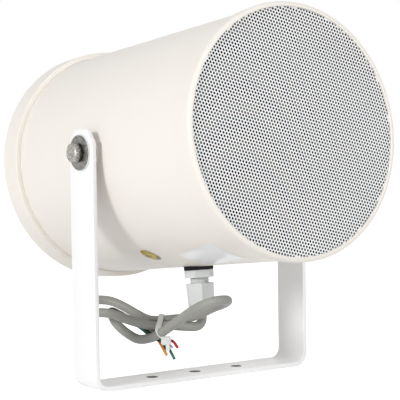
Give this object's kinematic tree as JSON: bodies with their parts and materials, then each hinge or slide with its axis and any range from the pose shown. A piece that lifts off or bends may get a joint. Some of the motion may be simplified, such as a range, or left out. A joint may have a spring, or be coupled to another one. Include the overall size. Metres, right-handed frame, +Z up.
{
  "type": "projection speaker",
  "caption": "Round barrel loudspeaker with perforated front grille, tilting in a U-shaped strap bracket, with a cable gland and a tied hank of cable below.",
  "frame": {"origin": "on the floor plane, at the centre of the bracket's base under the pivot", "axes": "+Z up, -Y towards the grille, X along the pivot from arm to arm"},
  "size_m": [0.2124, 0.2758, 0.272],
  "materials": {
    "bracket_paint": "gloss",
    "housing_plastic": "satin",
    "grille_paint": "satin",
    "screen_cloth": "matte",
    "screw_steel": "satin",
    "washer_plastic": "satin",
    "black_rubber": "matte",
    "insert_brass": "satin",
    "gland_plastic": "satin",
    "chassis_paint": "satin",
    "plate_steel": "satin",
    "ferrite": "matte",
    "cone_paper": "matte",
    "coil_former": "matte",
    "spider_cloth": "matte",
    "board": "matte",
    "winding": "satin",
    "label_film": "satin",
    "sticker_film": "satin",
    "cord_sheath": "satin",
    "core_sheath": "satin"
  },
  "bodies": {
    "bracket": {"bracket": "bracket_paint"},
    "housing": {"barrel": "housing_plastic", "rear_cap": "housing_plastic", "cap_seal_ring": "black_rubber", "cap_screws": "screw_steel", "grille": "grille_paint", "dust_screen": "screen_cloth", "pivot_bolts": "screw_steel", "spring_washers": "screw_steel", "steel_washers": "screw_steel", "plastic_washers": "washer_plastic", "spacers": "black_rubber", "thread_inserts": "insert_brass", "gland_seal": "black_rubber", "gland_body": "gland_plastic", "gland_locknut": "gland_plastic", "gland_insert": "black_rubber", "gland_nut": "gland_plastic", "chassis": "chassis_paint", "chassis_gasket": "black_rubber", "chassis_screws": "screw_steel", "surround": "black_rubber", "spider": "spider_cloth", "top_plate": "plate_steel", "magnet": "ferrite", "yoke": "plate_steel", "terminal_board": "board", "terminal_tags": "insert_brass", "transformer_core": "plate_steel", "transformer_bobbin": "washer_plastic", "transformer_winding": "winding", "transformer_frame": "plate_steel", "transformer_screws": "screw_steel", "inner_cable": "cord_sheath", "speaker_leads": "core_sheath", "wiring_label": "label_film", "gold_sticker": "sticker_film", "cord": "cord_sheath", "cord_hank": "cord_sheath", "cord_cores": "core_sheath", "cable_tie": "washer_plastic"},
    "cone": {"cone": "cone_paper", "dust_cap": "cone_paper", "voice_coil": "coil_former"}
  },
  "joints": [
    {"name": "housing_tilt", "type": "hinge", "parent": "bracket", "child": "housing", "pos_m": [0, 0, 0.1705], "axis": [-1, 0, 0], "range_deg": [-96, 84]},
    {"name": "cone_travel", "type": "slide", "parent": "housing", "child": "cone", "axis": [0, -0.9945, 0.1045], "range_m": [-0.003, 0.003], "stiffness_N_per_m": 1500, "deforming": ["surround", "spider"]}
  ]
}
